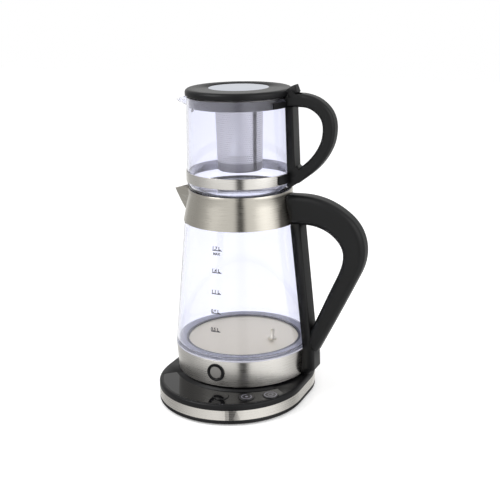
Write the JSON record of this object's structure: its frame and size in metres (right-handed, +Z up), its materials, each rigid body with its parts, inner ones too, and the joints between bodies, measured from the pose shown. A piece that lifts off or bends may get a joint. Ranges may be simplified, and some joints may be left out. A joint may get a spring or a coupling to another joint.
{
  "type": "electric tea maker",
  "caption": "Two-tier electric tea maker: glass kettle on a round-fronted power base, with a lidded glass teapot and infuser on top.",
  "frame": {"origin": "middle of the object's box at table height", "axes": "+Z up along the kettle's axis, +X towards the handles, -Y towards the front button and the control panel"},
  "size_m": [0.2272, 0.198, 0.3479],
  "materials": {
    "black_plastic": "satin",
    "gloss_black": "gloss",
    "key_black": "gloss",
    "brushed_steel": "brushed",
    "plate_steel": "brushed",
    "glass": "clear",
    "rubber": "matt",
    "silicone": "translucent",
    "screw_steel": "zinc",
    "brass": "plain",
    "aluminium": "rolled",
    "board_green": "solder mask",
    "inner_plastic": "moulded"
  },
  "bodies": {
    "base": {"base_tray": "black_plastic", "base_feet": "rubber", "base_band": "brushed_steel", "base_cover": "black_plastic", "control_panel": "gloss_black", "key_switches": "inner_plastic", "control_board": "board_green", "board_posts": "inner_plastic", "display_module": "gloss_black", "buzzer": "inner_plastic", "power_relay": "inner_plastic", "base_screws": "screw_steel", "cord_bush": "rubber", "cord_clamp": "black_plastic", "connector_holder": "black_plastic"},
    "timer_key": {"timer_key": "key_black"},
    "power_key": {"power_key": "key_black"},
    "warm_key": {"warm_key": "key_black"},
    "connector": {"connector_core": "black_plastic", "connector_contacts": "brass"},
    "kettle": {"kettle_bottom_cover": "black_plastic", "bottom_screws": "screw_steel", "kettle_socket": "black_plastic", "socket_contacts": "brass", "heating_plate": "plate_steel", "heat_spreader": "aluminium", "heating_element": "plate_steel", "plate_seal": "silicone", "foot_gasket": "rubber", "temperature_probe": "plate_steel", "kettle_glass": "glass", "kettle_ring": "brushed_steel", "button_bezel": "black_plastic", "button_spring": "screw_steel", "button_switch": "black_plastic", "switch_bracket": "black_plastic", "kettle_collar": "brushed_steel", "collar_seal": "silicone", "handle_bar": "black_plastic", "kettle_handle": "black_plastic", "handle_screws": "screw_steel"},
    "front_button": {"front_button": "brushed_steel"},
    "seat": {"teapot_seat": "silicone"},
    "teapot": {"teapot_glass": "glass", "teapot_band": "brushed_steel", "band_clamp": "black_plastic", "teapot_handle": "black_plastic", "handle_strap": "black_plastic", "hinge_pin": "screw_steel", "band_screw": "screw_steel"},
    "lid": {"lid_shell": "black_plastic", "lid_disc": "brushed_steel", "lid_plate": "black_plastic", "lid_seal": "silicone"},
    "infuser": {"infuser_rim": "brushed_steel", "infuser_basket": "brushed_steel", "infuser_base": "brushed_steel"}
  },
  "joints": [
    {"name": "kettle_turn", "type": "hinge", "parent": "base", "child": "connector", "pos_m": [-0.03157, 0.017, 0.024], "axis": [0, 0, 1], "continuous": true},
    {"name": "kettle_lift", "type": "slide", "parent": "connector", "child": "kettle", "axis": [0, 0, 1], "range_m": [0, 0.12]},
    {"name": "front_button_press", "type": "slide", "parent": "kettle", "child": "front_button", "axis": [0, 1, 0], "range_m": [0, 0.0012], "stiffness_N_per_m": 1200, "deforming": ["button_spring"]},
    {"name": "teapot_turn", "type": "hinge", "parent": "kettle", "child": "seat", "pos_m": [-0.03157, 0.017, 0.227], "axis": [0, 0, 1], "continuous": true},
    {"name": "teapot_lift", "type": "slide", "parent": "seat", "child": "teapot", "axis": [0, 0, 1], "range_m": [0, 0.12]},
    {"name": "lid_hinge", "type": "hinge", "parent": "teapot", "child": "lid", "pos_m": [0.03193, 0.017, 0.338], "axis": [0, 1, 0], "range_deg": [0, 62]},
    {"name": "infuser_turn", "type": "hinge", "parent": "teapot", "child": "infuser", "pos_m": [-0.03157, 0.017, 0.324], "axis": [0, 0, 1], "continuous": true},
    {"name": "timer_key_press", "type": "slide", "parent": "base", "child": "timer_key", "axis": [0, 0, -1], "range_m": [0, 0.0007], "stiffness_N_per_m": 1500},
    {"name": "power_key_press", "type": "slide", "parent": "base", "child": "power_key", "axis": [0, 0, -1], "range_m": [0, 0.0007], "stiffness_N_per_m": 1500},
    {"name": "warm_key_press", "type": "slide", "parent": "base", "child": "warm_key", "axis": [0, 0, -1], "range_m": [0, 0.0007], "stiffness_N_per_m": 1500}
  ]
}
